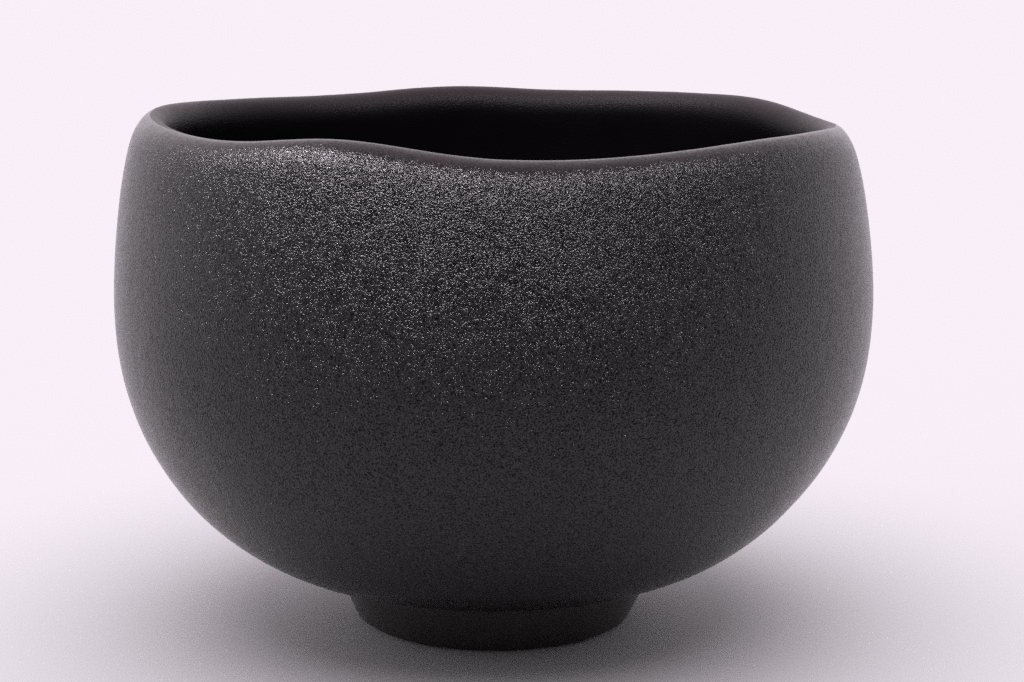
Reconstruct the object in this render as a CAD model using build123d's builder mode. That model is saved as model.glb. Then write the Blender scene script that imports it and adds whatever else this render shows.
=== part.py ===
from build123d import *
import math
import os

# A hand-formed tea bowl: a clay bowl on a luted foot ring, under three coats of glaze.
# Millimetres. The origin is the middle of the face that the foot stands on, +Z is up,
# and -Y is the bowl's front.

# ---- the bowl, over its glaze ----
BELLY_RADIUS = 57.8  # outside, where it is widest
BELLY_HEIGHT = 46
LIP_RADIUS = 51.4  # crest of the lip
LIP_HEIGHT = 75.9  # crest of the lip, before its hills are added
UNDERSIDE = 6.9  # height of the underside inside the foot
FLOOR = 13.0  # height of the floor inside, beside the tea pool
WALL = 6.2  # thickness of the wall, with its glaze
COAT = 0.6  # thickness of the matt glaze, outside and inside

# Soft hills along the lip: azimuth in degrees, height, half-width in degrees.
LIP_HILLS = (
    (-112, 2.4, 12.5),
    (-37, 2.2, 28),
    (34, 1.1, 10),
    (58, 2.1, 19),
    (98, 1.5, 12),
    (177, 2.9, 42),
)
HILLS_START = 40  # the hills fade out down the wall and are gone at this height

# Faint waves that the potter's hands left round the wall: waves in a turn, depth, azimuth of a crest.
WALL_WAVES = (
    (2, 0.20, 90),
    (4, 0.18, 48),
    (7, 0.07, -80),
)

# ---- the foot ring, under its glaze ----
FOOT_RADIUS = 20.9  # outside, if its side ran straight on down to the floor
FOOT_FLARE = 0.45  # how much wider it gets for each millimetre of height
FOOT_BORE = 16.0  # radius of the recess on the floor
BORE_DRAFT = 0.07  # how much narrower the recess gets for each millimetre of height
FOOT_EDGE = 1.2  # rounding of the two edges beside the face that it stands on
FOOT_TOP = 9.0  # the ring is drawn up to here, inside the clay, then cut to meet it
FOOT_COAT = 0.35  # thickness of the glossy glaze on its outer side
GLAZE_LINE = 0.7  # that glaze ends this far above the floor

# ---- where the inner and outer matt glazes meet ----
MEETING_POINTS = 10  # points of the line up the middle of the wall
MEETING_TOP = 71.2  # height where that line turns out to the crest of the lip
ABOVE_ALL = 90  # a height that is above every hill of the lip

# ---- how finely the hand-formed surface is drawn ----
LINE_STATIONS = 24  # rings from the underside to the lip, and as many from the lip to the floor
CROWDING = 1.5  # above 1, the rings crowd together towards the lip, where it turns fastest
RING_POINTS = 40


def wall_section():
    """Half section of the glazed bowl: from its underside up to the lip, then down to its floor."""
    cavity_radius = BELLY_RADIUS - WALL
    with BuildLine(Plane.XZ) as line:
        Spline(
            (0, UNDERSIDE - 0.4),
            (9, UNDERSIDE),
            (24, UNDERSIDE + 0.6),
            (35, 11),
            (45, 18.2),
            (51.6, 26.5),
            (56, 36),
            (BELLY_RADIUS, BELLY_HEIGHT),
            (57.3, 60),
            (55.4, 70.2),
            (LIP_RADIUS + 2, LIP_HEIGHT - 1.3),
            (LIP_RADIUS, LIP_HEIGHT),
            (LIP_RADIUS - 2, LIP_HEIGHT - 1.5),
            (LIP_RADIUS - 2.1, 69.2),
            (cavity_radius - 0.8, 60),
            (cavity_radius, BELLY_HEIGHT),
            (cavity_radius - 2.2, 36),
            (44.2, 26),
            (36, 18.3),
            (24, FLOOR + 1.2),
            (14, FLOOR),
            (7, FLOOR - 1),
            (0, FLOOR - 1.2),
            tangents=[(1, 0), (-1, 0)],
        )
    return line.edges()[0]


def smooth_step(start, end, value):
    """0 before start, 1 after end, with a soft change between them."""
    share = min(max((value - start) / (end - start), 0), 1)
    return share * share * (3 - 2 * share)


def lip_rise(azimuth):
    """How far the hills lift the lip at an azimuth."""
    rise = 0
    for middle, height, half_width in LIP_HILLS:
        gap = (azimuth - middle + 180) % 360 - 180
        rise += height * math.exp(-0.5 * (gap / half_width) ** 2)
    return rise


def wall_swell(azimuth):
    """How far the waves push the wall out at an azimuth."""
    swell = 0
    for count, depth, peak in WALL_WAVES:
        swell += depth * math.cos(math.radians(count * (azimuth - peak)))
    return swell


def set_in(section, share, inset):
    """Radius and height of a point of the section, set into the clay at right angles to its line."""
    place = section.position_at(share)
    along = section.tangent_at(share)
    return place.X - inset * along.Z, place.Z + inset * along.X


def ring(radius, height):
    """A closed curve round the bowl through this point of the section, with the lip's hills in it."""
    hills = smooth_step(HILLS_START, LIP_HEIGHT, height)
    waves = smooth_step(UNDERSIDE, BELLY_HEIGHT, height)
    points = []
    for step in range(RING_POINTS):
        azimuth = 360 * step / RING_POINTS
        reach = radius + waves * wall_swell(azimuth)
        turn = math.radians(azimuth)
        lifted = height + hills * lip_rise(azimuth)
        points.append((reach * math.cos(turn), reach * math.sin(turn), lifted))
    even = [step / RING_POINTS for step in range(RING_POINTS + 1)]
    return Wire(Edge.make_spline(points, periodic=True, parameters=even))


def bowl_form(section, crest, inset):
    """The whole bowl above its foot, as a solid whose skin is set in from the glazed surface."""
    steps = [step / LINE_STATIONS for step in range(1, LINE_STATIONS)]
    shares = [crest * (1 - (1 - step) ** CROWDING) for step in steps]
    shares.append(crest)
    shares += [crest + (1 - crest) * step**CROWDING for step in steps]
    rings = [ring(*set_in(section, share, inset)) for share in shares]
    under_middle = Vertex(0, 0, set_in(section, 0, inset)[1])
    floor_middle = Vertex(0, 0, set_in(section, 1, inset)[1])
    return Solid.make_loft([under_middle, *rings, floor_middle])


def foot_side(coat):
    """Radius of the foot's outer side, under a coat this thick, on the floor and at FOOT_TOP."""
    return FOOT_RADIUS + coat, FOOT_RADIUS + coat + FOOT_FLARE * FOOT_TOP


os.makedirs("parts", exist_ok=True)

section = wall_section()
crest = section.param_at_point((LIP_RADIUS, 0, LIP_HEIGHT))  # how far along the section the lip is
glazed_form = bowl_form(section, crest, 0)
clay_form = bowl_form(section, crest, COAT)

# All that lies on the cavity's side of a surface up the middle of the wall and out through the
# crest of the lip. It parts the inner glaze from the outer one.
with BuildPart() as cavity_side:
    with BuildSketch(Plane.XZ):
        with BuildLine():
            shares = [crest * point / MEETING_POINTS for point in range(MEETING_POINTS)]
            mid_wall = [set_in(section, share, WALL / 2) for share in shares]
            lip_line = [(LIP_RADIUS, MEETING_TOP), (LIP_RADIUS, ABOVE_ALL)]
            Polyline(*mid_wall, *lip_line, (0, ABOVE_ALL), close=True)
        make_face()
    revolve(axis=Axis.Z)

# All that lies within the glazed outer side of the foot, from the floor up into the clay.
with BuildPart() as foot_core:
    with BuildSketch(Plane.XZ):
        with BuildLine():
            low, high = foot_side(FOOT_COAT)
            Polyline((0, 0), (low, 0), (high, FOOT_TOP), (0, FOOT_TOP), close=True)
        make_face()
    revolve(axis=Axis.Z)
    fillet(foot_core.edges().group_by(Axis.Z)[0], FOOT_EDGE + FOOT_COAT)

# ---- the clay bowl: underside, wall, lip and floor in one piece ----
with BuildPart() as clay_body:
    add(clay_form)
clay_body.part.label = "clay_body"
export_step(clay_body.part, "parts/clay_body.step")

# ---- the foot ring, its top cut to the curve of the clay that it is luted to ----
with BuildPart() as foot_ring:
    with BuildSketch(Plane.XZ):
        with BuildLine():
            low, high = foot_side(0)
            Polyline(
                (FOOT_BORE, 0),
                (low, 0),
                (high, FOOT_TOP),
                (FOOT_BORE - BORE_DRAFT * FOOT_TOP, FOOT_TOP),
                close=True,
            )
        make_face()
    revolve(axis=Axis.Z)
    fillet(foot_ring.edges().group_by(Axis.Z)[0], FOOT_EDGE)
    add(clay_form, mode=Mode.SUBTRACT)
foot_ring.part.label = "foot_ring"
export_step(foot_ring.part, "parts/foot_ring.step")

# ---- matt glaze outside, from the foot up to the crest of the lip ----
with BuildPart() as outer_glaze:
    add(glazed_form)
    add(clay_form, mode=Mode.SUBTRACT)
    add(cavity_side.part, mode=Mode.SUBTRACT)
    add(foot_core.part, mode=Mode.SUBTRACT)
outer_glaze.part.label = "outer_glaze"
export_step(outer_glaze.part, "parts/outer_glaze.step")

# ---- matt glaze inside, from the crest of the lip down over the floor ----
with BuildPart() as inner_glaze:
    add(glazed_form)
    add(clay_form, mode=Mode.SUBTRACT)
    add(cavity_side.part, mode=Mode.INTERSECT)
inner_glaze.part.label = "inner_glaze"
export_step(inner_glaze.part, "parts/inner_glaze.step")

# ---- glossy glaze on the outer side of the foot, clear of the face that it stands on ----
with BuildPart() as foot_glaze:
    add(foot_core.part)
    add(clay_form, mode=Mode.SUBTRACT)
    with BuildSketch(Plane.XZ):
        with BuildLine():
            low, high = foot_side(0)
            Polyline((0, 0), (low, 0), (high, FOOT_TOP), (0, FOOT_TOP), close=True)
        make_face()
    revolve(axis=Axis.Z, mode=Mode.SUBTRACT)
    split(bisect_by=Plane.XY.offset(GLAZE_LINE), keep=Keep.TOP)
foot_glaze.part.label = "foot_glaze"
export_step(foot_glaze.part, "parts/foot_glaze.step")
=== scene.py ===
import math

import bpy
import numpy as np
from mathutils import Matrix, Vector, noise
from mathutils.bvhtree import BVHTree


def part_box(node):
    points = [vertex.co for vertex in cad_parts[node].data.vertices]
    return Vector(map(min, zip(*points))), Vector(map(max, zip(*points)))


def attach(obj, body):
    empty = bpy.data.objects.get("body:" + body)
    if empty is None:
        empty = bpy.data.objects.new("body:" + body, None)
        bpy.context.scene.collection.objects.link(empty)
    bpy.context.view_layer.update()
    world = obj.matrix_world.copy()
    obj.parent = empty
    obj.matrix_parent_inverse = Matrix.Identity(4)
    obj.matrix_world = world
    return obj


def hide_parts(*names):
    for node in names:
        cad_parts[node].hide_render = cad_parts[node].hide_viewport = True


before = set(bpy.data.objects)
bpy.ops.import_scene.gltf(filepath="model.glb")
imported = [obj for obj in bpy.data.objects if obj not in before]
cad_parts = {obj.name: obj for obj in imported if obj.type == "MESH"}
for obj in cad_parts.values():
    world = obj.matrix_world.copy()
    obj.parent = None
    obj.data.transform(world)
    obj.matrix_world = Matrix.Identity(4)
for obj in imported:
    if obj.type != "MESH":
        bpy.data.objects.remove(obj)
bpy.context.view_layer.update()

# A black tea bowl on a pale floor. Metres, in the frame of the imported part: +Z is up, the bowl's
# foot stands on z = 0 and its front faces -Y.

MM = 0.001

# ---- how the glazed skin is read from the CAD nodes ----
AZIMUTHS = 180  # sections read round the bowl
HARMONICS = 44  # waves in a turn that are kept: finer ones are only the CAD's facets
RAYS = 520  # rays to a section, outside and as many inside
READ_STEP = 0.25 * MM  # spacing of a section's points while it is smoothed
OUTER_EYE = 40 * MM  # height on the axis that the outside is read towards
OUTER_REACH = 0.15  # how far from there its rays start
INNER_EYE = 100 * MM  # height on the axis that the inside is read from
LIP_DEPTH = 3 * MM  # the crest is looked for this near the inner glaze's highest point
SMOOTHINGS = 60  # passes of smoothing along a section
SHARP = 1.5 * MM  # they hardly touch this much on each side of the crest
SOFTENING = 8 * MM  # and come to full strength over this much more
UP = np.array([0, 0, 1])

# ---- how finely the skin is drawn ----
COLUMNS = 600
BACK_COLUMNS = 150
LIP_SPACING = 0.22 * MM  # rows at the lip
WALL_SPACING = 0.84 * MM  # rows on the wall and the floor
SPREAD = 12 * MM  # the rows spread out to that over this distance from the lip
ROW_SAMPLES = 4000  # places along a section where the spacing of its rows is worked out
BACK_EVERY = 4  # a glaze's hidden back has one row for this many of its face
COAT = 0.55 * MM  # thickness of the glaze pieces
FLOOR_THINNING = ((1, 30 * MM), (2, 16 * MM), (4, 7 * MM), (8, 0))  # column step, least radius
FRONT_V, BACK_V = (0.12, 1.0), (0.0, 0.1)  # shares of the colour map for a glaze's face and back

# ---- the potter's hand in the skin ----
DENTS = ((38, 0.30), (17, 0.10), (7, 0.035), (2.6, 0.012))  # spacing and depth, mm
SALT_STEP = 7.3  # moves each size of dents to its own part of the noise

# ---- the glossy coat on the foot ----
FOOT_COLUMNS = 480
FOOT_ROWS = 44
FOOT_BACK_EVERY = 6
FOOT_COAT = 0.35 * MM
FOOT_REACH = 0.06  # how far from the axis the rays start that read it
TURNING_PITCH = 0.62 * MM  # spacing of the lines that the turning tool left
TURNING_DEPTH = 0.035 * MM
EDGE_WAVES = (7, 0.5)  # spacing and height of the waves along its lower edge, mm
SIDE_WAVES = (9, 0.12)  # spacing and depth of the waves on its side, mm
CREEP = 0.9 * MM  # how far it creeps out where the foot meets the bowl
CREEP_START, CREEP_SPAN = 0.72, 0.28  # shares of the foot's height: where that begins, how long
FOOT_FROM_LIP = 0.07  # its distance from the lip, far beyond any change of colour there


# ======================================================================== meshes


def surface_of(node):
    """The surface of a CAD node, to cast rays onto."""
    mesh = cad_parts[node].data
    return BVHTree.FromPolygons([v.co for v in mesh.vertices], [p.vertices for p in mesh.polygons])


def vertices_of(node):
    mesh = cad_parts[node].data
    places = np.empty(len(mesh.vertices) * 3)
    mesh.vertices.foreach_get("co", places)
    return places.reshape(-1, 3)


def hit(tree, start, towards):
    """Radius and height of the first point of a surface on a ray, or None."""
    place = tree.ray_cast(Vector(start), Vector(towards).normalized())[0]
    return None if place is None else (math.hypot(place.x, place.y), place.z)


def length_of(section):
    return np.linalg.norm(np.diff(section, axis=0), axis=1).sum()


def evenly(section, count):
    """A section's points moved to lie evenly along it."""
    steps = np.linalg.norm(np.diff(section, axis=0), axis=1)
    along = np.concatenate([[0], np.cumsum(steps)])
    wanted = np.linspace(0, along[-1], count)
    return np.stack([np.interp(wanted, along, section[:, i]) for i in (0, 1)], axis=1)


def rim_radius(node):
    """Largest radius among the highest points of a CAD node."""
    places = vertices_of(node)
    top = places[places[:, 2] > places[:, 2].max() - LIP_DEPTH]
    return np.hypot(top[:, 0], top[:, 1]).max()


def fan(tree, out, eye, angles, reach=0, least_radius=0):
    """Where a fan of rays meets a surface, as (radius, height).

    The rays lie in the upright plane through out. They leave the axis at the height eye, or come
    in towards it from reach away.
    """
    points = []
    for angle in angles:
        towards = out * math.cos(angle) + UP * math.sin(angle)
        if reach:
            found = hit(tree, towards * reach + UP * eye, -towards)
        else:
            found = hit(tree, UP * eye, towards)
        if found is not None and found[0] >= least_radius:
            points.append(found)
    return points


def read_sections():
    """Sections of the glazed bowl as (radius, height), outside and inside.

    The outer ones go from the foot up to the crest of the lip, and the inner ones from there down
    to the middle of the floor.
    """
    outer_tree, inner_tree = surface_of("outer_glaze"), surface_of("inner_glaze")
    outer_places = vertices_of("outer_glaze")
    crest_radius = rim_radius("inner_glaze")
    foot_radius = np.hypot(outer_places[:, 0], outer_places[:, 1]).min() + 0.6 * MM
    foot_height = outer_places[:, 2].min() + 0.5 * MM
    outside, inside = [], []
    for azimuth in np.arange(AZIMUTHS) * 2 * math.pi / AZIMUTHS:
        out = np.array([math.cos(azimuth), math.sin(azimuth), 0])
        above = out * (crest_radius - 0.03 * MM) + UP * INNER_EYE
        crest = np.array([crest_radius, hit(inner_tree, above, -UP)[1]])
        low = math.atan2(foot_height - OUTER_EYE, foot_radius)
        high = math.atan2(crest[1] - OUTER_EYE, crest[0])
        rising = np.linspace(low, high, RAYS)[:-1]
        section = fan(outer_tree, out, OUTER_EYE, rising, OUTER_REACH, foot_radius * 0.9)
        outside.append(np.array([*section, crest]))
        high = math.atan2(crest[1] - INNER_EYE, crest[0])
        sinking = np.linspace(high, -math.pi / 2, RAYS)[1:]
        section = fan(inner_tree, out, INNER_EYE, sinking)
        inside.append(np.array([crest, *section]))
    return outside, inside


def smooth_sections(sections, crest):
    """The sections with the CAD's facets smoothed away, most on the wall and least at the crest."""
    from_crest = np.abs(np.arange(sections.shape[1]) - crest) * READ_STEP
    weight = 0.5 * np.clip((from_crest - SHARP) / SOFTENING, 0.02, 1)[None, 1:-1, None]
    for _ in range(SMOOTHINGS):
        middle = (sections[:, 2:] + sections[:, :-2]) / 2
        sections[:, 1:-1] += weight * (middle - sections[:, 1:-1])
    waves = np.fft.rfft(sections, axis=0)
    waves[HARMONICS + 1 :] = 0
    fine = np.zeros((COLUMNS // 2 + 1, *waves.shape[1:]), complex)
    fine[: HARMONICS + 1] = waves[: HARMONICS + 1]
    return np.fft.irfft(fine, COLUMNS, axis=0) * COLUMNS / AZIMUTHS


def row_places(length):
    """Distances from the crest at which rows are drawn, close together there and wider on the wall."""
    fine = np.linspace(0, length, ROW_SAMPLES)
    spacing = LIP_SPACING + (WALL_SPACING - LIP_SPACING) * np.clip(fine / SPREAD, 0, 1)
    rows = np.concatenate([[0], np.cumsum(np.diff(fine) / spacing[1:])])
    return np.interp(np.linspace(0, rows[-1], round(rows[-1])), rows, fine)


def lumps(places, size, depth, salt):
    """Soft random relief with hills this far apart and this high, both in millimetres."""
    points = places.reshape(-1, 3) / (size * MM) + salt
    heights = [noise.noise(Vector(p)) for p in points]
    return depth * MM * np.array(heights).reshape(places.shape[:-1])


def grid_normals(places):
    """Normals of a grid of rows round the bowl, pointing out of the clay."""
    along = np.gradient(places, axis=0)
    around = (np.roll(places, -1, axis=1) - np.roll(places, 1, axis=1)) / 2
    normals = np.cross(around, along)
    length = np.linalg.norm(normals, axis=2, keepdims=True)
    normals = np.where(length > 0, normals / np.maximum(length, 1e-12), (0, 0, 1))
    normals[-1] = (0, 0, 1)
    return normals


def glazed_grid():
    """The skin of the whole glazed bowl in rows from the foot to the floor.

    Returns the places and normals, each row's distance from the crest, and the crest's row.
    """
    outside, inside = read_sections()
    out_count = round(np.mean([length_of(s) for s in outside]) / READ_STEP)
    in_count = round(np.mean([length_of(s) for s in inside]) / READ_STEP)
    sections = []
    for outer, inner in zip(outside, inside):
        sections.append(np.concatenate([evenly(outer, out_count), evenly(inner, in_count)[1:]]))
    sections = smooth_sections(np.array(sections), out_count - 1)
    below = row_places((out_count - 1) * READ_STEP)
    within = row_places((in_count - 1) * READ_STEP)
    from_crest = np.concatenate([-below[::-1], within[1:]])
    wanted = from_crest / READ_STEP + out_count - 1
    index = np.clip(np.floor(wanted).astype(int), 0, sections.shape[1] - 2)
    share = (wanted - index)[None, :, None]
    rows = (sections[:, index] * (1 - share) + sections[:, index + 1] * share).transpose(1, 0, 2)
    turn = np.arange(COLUMNS) * 2 * math.pi / COLUMNS
    radius, height = rows[..., 0], rows[..., 1]
    radius[-1] = 0
    places = np.stack([radius * np.cos(turn), radius * np.sin(turn), height], axis=2)
    normals = grid_normals(places)
    relief = 0
    for order, (size, depth) in enumerate(DENTS):
        relief = relief + lumps(places, size, depth, order * SALT_STEP)
    places = places + normals * relief[..., None]
    places[-1] = places[-1].mean(axis=0)
    return places, grid_normals(places), from_crest, len(below) - 1


def band(first, first_count, second, second_count):
    """Faces between two rings of points, given by their first index and count.

    One ring may have half as many points as the other.
    """
    faces = []
    for i in range(min(first_count, second_count)):
        j = (i + 1) % min(first_count, second_count)
        if first_count == second_count:
            faces.append((first + i, first + j, second + j, second + i))
        elif first_count > second_count:
            a, b, c = first + 2 * i, first + 2 * i + 1, first + (2 * i + 2) % first_count
            faces += [(a, b, second + i), (b, second + j, second + i), (b, c, second + j)]
        else:
            a, b, c = second + 2 * i, second + 2 * i + 1, second + (2 * i + 2) % second_count
            faces += [(first + i, b, a), (first + i, first + j, b), (first + j, c, b)]
    return faces


def lay_out(mesh, spots):
    """Give a mesh its colour map from each point's spot in it, mended where a turn closes."""
    layer = mesh.uv_layers.new(name="OFBake")
    corners = np.empty(len(mesh.loops), int)
    mesh.loops.foreach_get("vertex_index", corners)
    places = np.array(spots)[corners]
    for polygon in mesh.polygons:
        around = places[polygon.loop_start : polygon.loop_start + polygon.loop_total, 0]
        if around.max() - around.min() > 0.5:
            around[around < 0.25] += 1
    layer.data.foreach_set("uv", places.ravel())


def piece(name, rings, ends=(None, None), closed=False):
    """A mesh object from rings of points.

    Each ring is (places, normals, v in the colour map, distance from the lip). An end is one such
    point, that the nearest ring closes on.
    """
    places, normals, spots, lip, faces, starts = [], [], [], [], [], []
    for ring_places, ring_normals, v, from_lip in rings:
        starts.append(len(places))
        count = len(ring_places)
        places += list(ring_places)
        normals += list(ring_normals)
        spots += [(i / count, v) for i in range(count)]
        lip += [from_lip] * count
    counts = [len(ring[0]) for ring in rings]
    pairs = list(zip(range(len(rings) - 1), range(1, len(rings))))
    if closed:
        pairs.append((len(rings) - 1, 0))
    for a, b in pairs:
        faces += band(starts[a], counts[a], starts[b], counts[b])
    for end, ring_index, flip in ((ends[0], 0, True), (ends[1], -1, False)):
        if end is None:
            continue
        tip, tip_normal, v, from_lip = end
        start, count = starts[ring_index], counts[ring_index]
        for i in range(count):
            j = (i + 1) % count
            face = (start + i, start + j, len(places))
            faces.append(face[::-1] if flip else face)
        places.append(tip)
        normals.append(tip_normal)
        spots.append((0.5, v))
        lip.append(from_lip)
    mesh = bpy.data.meshes.new(name)
    mesh.from_pydata([tuple(p) for p in places], [], faces)
    mesh.polygons.foreach_set("use_smooth", np.ones(len(mesh.polygons), bool))
    lay_out(mesh, spots)
    tag = mesh.attributes.new("from_lip", "FLOAT", "POINT")
    tag.data.foreach_set("value", np.array(lip, np.float32))
    mesh.update()
    mesh.normals_split_custom_set_from_vertices([tuple(n) for n in normals])
    made = bpy.data.objects.new(name, mesh)
    bpy.context.scene.collection.objects.link(made)
    return made


def glaze_rings(places, normals, from_crest, thinning):
    """Rings of a glaze's face. thinning gives each row's step from column to column."""
    rings = []
    for row in range(len(places)):
        step = thinning(row)
        v = FRONT_V[0] + (FRONT_V[1] - FRONT_V[0]) * row / (len(places) - 1)
        rings.append((places[row, ::step], normals[row, ::step], v, abs(from_crest[row])))
    return rings


def back_rings(places, normals, from_crest):
    """Rings of a glaze's hidden back, a coat's thickness inside its face.

    They skip rows, and the first has half the face's columns, the others fewer.
    """
    rings = []
    rows = range(0, len(places), BACK_EVERY)
    for order, row in enumerate(rows):
        step = 2 if order == 0 else COLUMNS // BACK_COLUMNS
        inward = places[row, ::step] - normals[row, ::step] * COAT
        v = BACK_V[0] + (BACK_V[1] - BACK_V[0]) * order / len(rows)
        rings.append((inward, -normals[row, ::step], v, abs(from_crest[row])))
    return rings


def outer_glaze_piece(places, normals, from_crest, crest):
    """The outer coat: its face from the foot up to the crest, and its back down again."""
    up = slice(0, crest + 1)
    face = glaze_rings(places[up], normals[up], from_crest[up], lambda row: 1)
    down = slice(crest, None, -1)
    back = back_rings(places[down], normals[down], from_crest[down])
    foot_v, foot_distance = back[-1][2:]
    finer = (places[0, ::2] - normals[0, ::2] * COAT, -normals[0, ::2], foot_v, foot_distance)
    return piece("bowl_outer_glaze", [*face, *back, finer], closed=True)


def inner_glaze_piece(places, normals, from_crest, crest):
    """The inner coat: its face from the crest down to the middle of the floor, and its back."""
    part = slice(crest, -1)
    radius = np.hypot(places[part, 0, 0], places[part, 0, 1])

    def thinning(row):
        return next(step for step, least in FLOOR_THINNING if radius[row] > least)

    face = glaze_rings(places[part], normals[part], from_crest[part], thinning)
    back = back_rings(places[part], normals[part], from_crest[part])[::-1]
    tip, distance = places[-1, 0], abs(from_crest[-1])
    under = (tip - COAT * UP, -UP, BACK_V[1], distance)
    middle = (tip, UP, FRONT_V[1], distance)
    return piece("bowl_inner_glaze", [*back, *face], ends=(under, middle))


def foot_glaze_piece():
    """The glossy coat on the foot: a ring with faint turning lines and an edge that wanders."""
    tree = surface_of("foot_glaze")
    low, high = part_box("foot_glaze")
    bottom, top = low.z, high.z - 0.35 * MM
    heights = np.linspace(bottom + 0.02 * MM, top, FOOT_ROWS)
    starts = [(FOOT_REACH, 0.0001, height) for height in heights]
    radii = np.array([hit(tree, start, (-1, 0, 0))[0] for start in starts])
    radii[1:-1] = (radii[:-2] + radii[1:-1] * 2 + radii[2:]) / 4
    turn = np.arange(FOOT_COLUMNS) * 2 * math.pi / FOOT_COLUMNS
    ring = np.stack([np.cos(turn), np.sin(turn), np.zeros(FOOT_COLUMNS)], axis=1)
    places = []
    for radius, height in zip(radii, heights):
        share = (height - bottom) / (top - bottom)
        edge = lumps(ring * radius + (0, 0, 0.05), *EDGE_WAVES, 3.1) * (1 - share) ** 3
        lines = TURNING_DEPTH * math.sin(height / TURNING_PITCH * 2 * math.pi)
        wander = lumps(ring * radius + (0, 0, height), *SIDE_WAVES, 8.7)
        creep = CREEP * max(0, share - CREEP_START) ** 2 / CREEP_SPAN**2
        reach = radius + lines * (1 - share) + wander + creep
        at = ring * reach[:, None]
        at[:, 2] = height + edge
        places.append(at)
    places = np.array(places)
    normals = grid_normals(places)
    normals[-1] = normals[-2]
    rings = []
    for row in range(FOOT_ROWS):
        rings.append((places[row], normals[row], 0.2 + 0.8 * row / FOOT_ROWS, FOOT_FROM_LIP))
    for row in range(FOOT_ROWS - 1, -1, -FOOT_BACK_EVERY):
        inward = places[row] - ring * FOOT_COAT
        rings.append((inward, -normals[row], 0.15 * row / FOOT_ROWS, FOOT_FROM_LIP))
    return piece("foot_gloss_glaze", rings, closed=True)


# ======================================================================== materials


def new_material(name):
    """A material, its node tree and its shader."""
    made = bpy.data.materials.new(name)
    made.use_nodes = True
    return made, made.node_tree, made.node_tree.nodes["Principled BSDF"]


def add_node(tree, kind, inputs=None, **settings):
    """A shader node with its settings, and its inputs as values or as links from other sockets."""
    made = tree.nodes.new(kind)
    for key, value in settings.items():
        setattr(made, key, value)
    for key, value in (inputs or {}).items():
        if isinstance(value, bpy.types.NodeSocket):
            tree.links.new(value, made.inputs[key])
        else:
            made.inputs[key].default_value = value
    return made


def place_of(tree):
    """A piece's own coordinates, in metres."""
    return add_node(tree, "ShaderNodeTexCoord").outputs["Object"]


def grain(tree, place, size, detail=2.0, roughness=0.5):
    """Random pattern, 0 to 1, with blotches this many millimetres apart."""
    inputs = {
        "Vector": place,
        "Scale": 1 / (size * MM),
        "Detail": detail,
        "Roughness": roughness,
    }
    return add_node(tree, "ShaderNodeTexNoise", inputs).outputs["Fac"]


def cells(tree, place, size, feature="SMOOTH_F1"):
    """Distance pattern of cells this many millimetres across."""
    inputs = {"Vector": place, "Scale": 1 / (size * MM)}
    made = add_node(tree, "ShaderNodeTexVoronoi", inputs, feature=feature)
    return made.outputs["Distance"]


def ranged(tree, value, low, high, to_low, to_high):
    """value from low to high, taken to to_low and to_high, and held there beyond."""
    inputs = {
        "Value": value,
        "From Min": low,
        "From Max": high,
        "To Min": to_low,
        "To Max": to_high,
    }
    return add_node(tree, "ShaderNodeMapRange", inputs, clamp=True).outputs["Result"]


def sums(tree, operation, first, second):
    """First and second taken together by a Math node's operation."""
    return add_node(tree, "ShaderNodeMath", {0: first, 1: second}, operation=operation).outputs[0]


def blended(tree, share, first, second):
    """Number that goes from the first to the second as share goes from 0 to 1."""
    inputs = {"Factor": share, "A": first, "B": second}
    return add_node(tree, "ShaderNodeMix", inputs).outputs[0]


def mixed(tree, share, first, second):
    """Colour that goes from the first to the second as share goes from 0 to 1."""
    made = add_node(tree, "ShaderNodeMix", {0: share}, data_type="RGBA")
    for socket, value in ((made.inputs[6], first), (made.inputs[7], second)):  # its colours
        if isinstance(value, bpy.types.NodeSocket):
            tree.links.new(value, socket)
        else:
            socket.default_value = value
    return made.outputs[2]


def bump(tree, height, distance, below=None):
    """Normals of a relief this many millimetres deep, laid over another if one is given."""
    inputs = {"Height": height, "Distance": distance * MM, "Strength": 1.0}
    if below is not None:
        inputs["Normal"] = below
    return add_node(tree, "ShaderNodeBump", inputs).outputs["Normal"]


def from_lip(tree):
    """Distance from the crest of the lip in millimetres."""
    metres = add_node(tree, "ShaderNodeAttribute", attribute_name="from_lip").outputs["Fac"]
    return sums(tree, "DIVIDE", metres, MM)


LIP_BROWN_AND_HIGHLIGHT = (0.032, 0.027, 0.028, 1)  # the glaze's real brown where it thins over the lip, made light enough to be a painted highlight along the crest


def lip_brown_and_highlight_share(tree, lip, reach):
    """1 on the crest of the lip, fading ever more slowly to 0 at this distance from it."""
    share = ranged(tree, lip, 0.3, reach, 1, 0)
    return sums(tree, "MULTIPLY", share, share)


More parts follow.
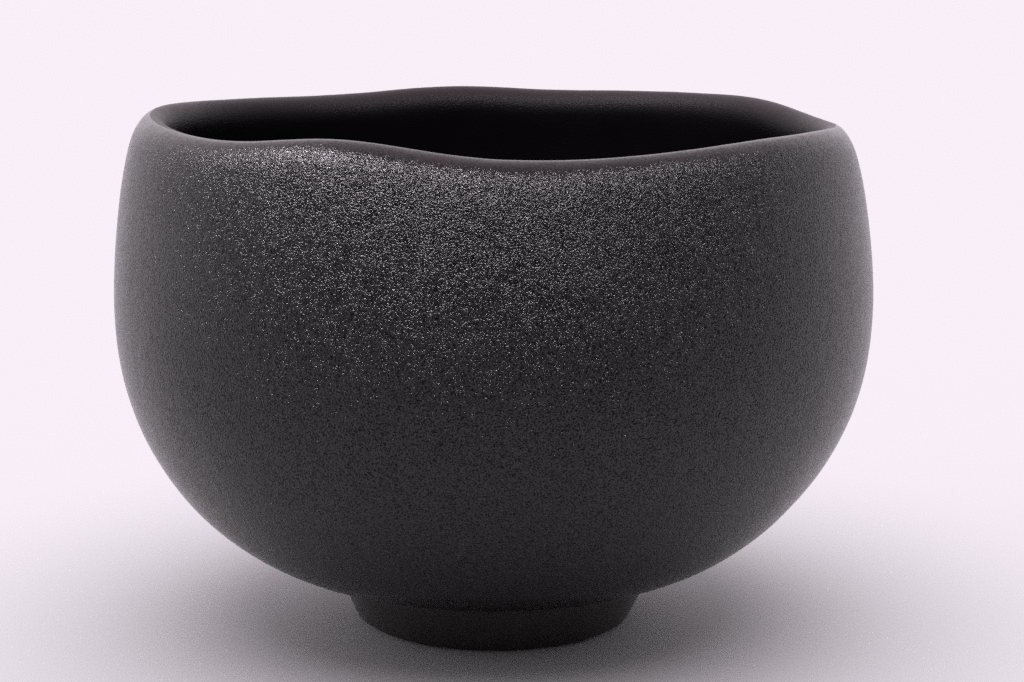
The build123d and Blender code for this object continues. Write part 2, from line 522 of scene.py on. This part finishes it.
def matte_glaze():
    """Black glaze with a skin of tiny pebbles, smoother and browner at the lip, with a painted
    highlight on the crest, painted shade in the pebbles' hollows and a few pits.
    """
    made, tree, shader = new_material("matte_black_glaze")
    place = place_of(tree)
    lip = from_lip(tree)
    patches = grain(tree, place, 14, 3)
    worms = grain(tree, place, 0.20, 0.6)
    dots = cells(tree, place, 0.34)
    skin = sums(tree, "ADD", worms, sums(tree, "MULTIPLY", dots, -0.35))
    covered = ranged(tree, lip, 1.8, 5.2, 0.35, 1.0)
    uneven = ranged(tree, grain(tree, place, 1.3, 2), 0.3, 0.7, 0.8, 1.25)
    rise = sums(tree, "MULTIPLY", covered, uneven)
    skin = sums(tree, "MULTIPLY", skin, rise)
    pits = ranged(tree, cells(tree, place, 9, "F1"), 0.02, 0.05, -1.0, 0.0)
    peel = grain(tree, place, 1.9, 1.0)
    relief = bump(tree, pits, 0.10, bump(tree, peel, 0.07))
    tree.links.new(bump(tree, skin, 0.145, relief), shader.inputs["Normal"])
    black = mixed(tree, patches, (0.0020, 0.0015, 0.0019, 1), (0.0032, 0.0025, 0.0031, 1))
    # painted shade: the colour darkens in the hollows of the pebble skin
    hollow_shade = mixed(tree, ranged(tree, worms, 0.35, 0.55, 0.85, 0), black, (0, 0, 0, 1))
    # the glaze's brown where it thins over the lip, lightened on the crest as a painted highlight
    brown_and_highlight = mixed(tree, lip_brown_and_highlight_share(tree, lip, 4.6), hollow_shade, LIP_BROWN_AND_HIGHLIGHT)
    tree.links.new(brown_and_highlight, shader.inputs["Base Color"])
    tree.links.new(ranged(tree, patches, 0.3, 0.7, 0.15, 0.20), shader.inputs["Roughness"])
    # painted shade: the reflection is dimmed in the hollows of the pebble skin
    hollow_reflection_shade = ranged(tree, worms, 0.34, 0.58, 0.12, 0.64)
    tree.links.new(hollow_reflection_shade, shader.inputs["Specular IOR Level"])
    shader.inputs["IOR"].default_value = 1.43
    return made


def inner_glaze():
    """The same glaze inside: smoother skin, a drier sheen and fewer glints."""
    made, tree, shader = new_material("inner_black_glaze")
    place = place_of(tree)
    patches = grain(tree, place, 11, 3)
    lip = from_lip(tree)
    skin = grain(tree, place, 0.24, 1.0)
    tree.links.new(bump(tree, skin, 0.10), shader.inputs["Normal"])
    black = mixed(tree, patches, (0.0018, 0.0015, 0.0018, 1), (0.0026, 0.0022, 0.0026, 1))
    # the glaze's brown where it thins over the lip, lightened on the crest as a painted highlight
    brown_and_highlight = mixed(tree, lip_brown_and_highlight_share(tree, lip, 5.5), black, LIP_BROWN_AND_HIGHLIGHT)
    tree.links.new(brown_and_highlight, shader.inputs["Base Color"])
    tree.links.new(ranged(tree, patches, 0.3, 0.7, 0.26, 0.36), shader.inputs["Roughness"])
    shader.inputs["IOR"].default_value = 1.14
    return made


def gloss_glaze():
    """Smooth black glaze on the foot, with a low gloss."""
    made, tree, shader = new_material("gloss_black_glaze")
    place = place_of(tree)
    patches = grain(tree, place, 6, 3)
    skin = grain(tree, place, 1.4, 2)
    tree.links.new(bump(tree, skin, 0.05), shader.inputs["Normal"])
    colour = mixed(tree, patches, (0.028, 0.025, 0.025, 1), (0.044, 0.040, 0.040, 1))
    tree.links.new(colour, shader.inputs["Base Color"])
    tree.links.new(ranged(tree, patches, 0.3, 0.7, 0.22, 0.34), shader.inputs["Roughness"])
    shader.inputs["IOR"].default_value = 1.5
    return made


def bare_clay():
    """Unglazed dark clay: dry, with grit that stands out of it."""
    made, tree, shader = new_material("bare_clay")
    place = place_of(tree)
    patches = grain(tree, place, 8, 4)
    fine = grain(tree, place, 0.35, 3, 0.65)
    grit = ranged(tree, cells(tree, place, 0.9, "F1"), 0.0, 0.35, 1.0, 0.0)
    tree.links.new(bump(tree, grit, 0.12, bump(tree, fine, 0.10)), shader.inputs["Normal"])
    colour = mixed(tree, patches, (0.050, 0.038, 0.032, 1), (0.085, 0.062, 0.050, 1))
    speckled = mixed(tree, sums(tree, "MULTIPLY", grit, 0.5), colour, (0.16, 0.13, 0.11, 1))
    tree.links.new(speckled, shader.inputs["Base Color"])
    tree.links.new(ranged(tree, fine, 0.3, 0.7, 0.75, 0.95), shader.inputs["Roughness"])
    return made


# ======================================================================== the bowl


def build_bowl():
    """The glaze pieces and the bare clay. Returns every object that the bowl is made of."""
    places, normals, from_crest, crest = glazed_grid()
    outer = outer_glaze_piece(places, normals, from_crest, crest)
    inner = inner_glaze_piece(places, normals, from_crest, crest)
    foot = foot_glaze_piece()
    looks = (
        (outer, "outer_glaze", "matte_black_glaze", matte_glaze()),
        (inner, "inner_glaze", "inner_black_glaze", inner_glaze()),
        (foot, "foot_glaze", "gloss_black_glaze", gloss_glaze()),
    )
    for made, node, slot, look in looks:
        made.data.materials.append(look)
        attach(made, "root")
        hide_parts(node)
    clay = bare_clay()
    for node in ("clay_body", "foot_ring"):
        mesh_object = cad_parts[node]
        for holder in mesh_object.material_slots:
            holder.material = clay
    return [outer, inner, foot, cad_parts["clay_body"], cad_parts["foot_ring"]]


# ======================================================================== the stage

FLOOR_HALF = 6.0  # half the floor's side
TINT = (1.0, 0.925, 1.0)  # all the light leans a little to magenta
FLOOR_TONE = 0.945  # the sky's strength that looks like the lit floor, so that no horizon shows
KEYS = ((-90, 1.6), (-58, 1.8), (-26, 1.9), (6, 1.45), (38, 1.1), (68, 0.7))  # azimuth, power


def build_floor():
    """A plain, pale, nearly matte floor."""
    corners = [(FLOOR_HALF * x, FLOOR_HALF * y, 0) for x, y in ((-1, -1), (1, -1), (1, 1), (-1, 1))]
    mesh = bpy.data.meshes.new("floor")
    mesh.from_pydata(corners, [], [(0, 1, 2, 3)])
    floor = bpy.data.objects.new("floor", mesh)
    bpy.context.scene.collection.objects.link(floor)
    made, _, shader = new_material("pale_floor")
    shader.inputs["Base Color"].default_value = (0.80, 0.797, 0.80, 1)
    shader.inputs["Roughness"].default_value = 0.9
    shader.inputs["Specular IOR Level"].default_value = 0.2
    mesh.materials.append(made)
    return floor


def build_light(bowl, floor):
    """Light from all round, brightest from behind, with soft lights round the front and overhead."""
    world = bpy.data.worlds.new("studio")
    bpy.context.scene.world = world
    world.use_nodes = True
    tree = world.node_tree
    sky = tree.nodes["Background"]
    direction = add_node(tree, "ShaderNodeTexCoord").outputs["Generated"]
    parts = add_node(tree, "ShaderNodeSeparateXYZ", {0: direction})
    leaning = sums(tree, "MULTIPLY", parts.outputs["X"], -0.2)
    backward = sums(tree, "ADD", parts.outputs["Y"], leaning)
    strength = ranged(tree, backward, -0.8, 0.6, 0.06, 1.15)
    low = ranged(tree, parts.outputs["Z"], 0.10, 0.22, 1, 0)
    beside = ranged(tree, backward, -0.3, -0.02, 0, 1)
    horizon = sums(tree, "MULTIPLY", low, beside)
    strength = blended(tree, horizon, strength, FLOOR_TONE)
    sky.inputs["Color"].default_value = (*TINT, 1)
    tree.links.new(strength, sky.inputs["Strength"])
    lit = bpy.data.collections.new("lit_by_key")
    for made in bowl:
        lit.objects.link(made)
    for azimuth, power in KEYS:
        key = soft_light(f"key_{azimuth}", azimuth, elevation=43, width=8, power=power)
        key.light_linking.receiver_collection = lit
    ground = bpy.data.collections.new("lit_by_top")
    ground.objects.link(floor)
    top = soft_light("top", azimuth=0, elevation=80, width=60, power=1.6)
    top.light_linking.receiver_collection = ground


def soft_light(name, azimuth, elevation, width, power):
    """A far, soft light that fills an angle of width degrees.

    Its azimuth is counted from the bowl's front to its right.
    """
    lamp = bpy.data.lights.new(name, "SUN")
    lamp.energy = power
    lamp.angle = math.radians(width)
    lamp.color = TINT
    made = bpy.data.objects.new(name, lamp)
    turn, lift = math.radians(azimuth), math.radians(elevation)
    level = math.cos(lift)
    towards = Vector((math.sin(turn) * level, -math.cos(turn) * level, math.sin(lift)))
    made.rotation_euler = towards.to_track_quat("Z", "Y").to_euler()
    made.location = towards * 2
    bpy.context.scene.collection.objects.link(made)
    return made


def build_camera():
    """The photograph's view: a long lens a little above the lip, looking slightly down."""
    aside, distance, height = 2.76 * MM, 347.8 * MM, 109.9 * MM
    pitch = 10.87  # degrees down
    data = bpy.data.cameras.new("camera")
    data.lens = 80.7
    data.sensor_width = 36
    data.clip_start = 0.01
    made = bpy.data.objects.new("camera", data)
    made.location = (aside, -distance, height)
    made.rotation_euler = (math.radians(90 - pitch), 0, 0)
    bpy.context.scene.collection.objects.link(made)
    bpy.context.scene.camera = made


bowl = build_bowl()
floor = build_floor()
build_light(bowl, floor)
build_camera()
bpy.context.scene.view_settings.view_transform = "Standard"
bpy.context.scene.cycles.use_denoising = False  # it would smooth the glaze's fine skin away
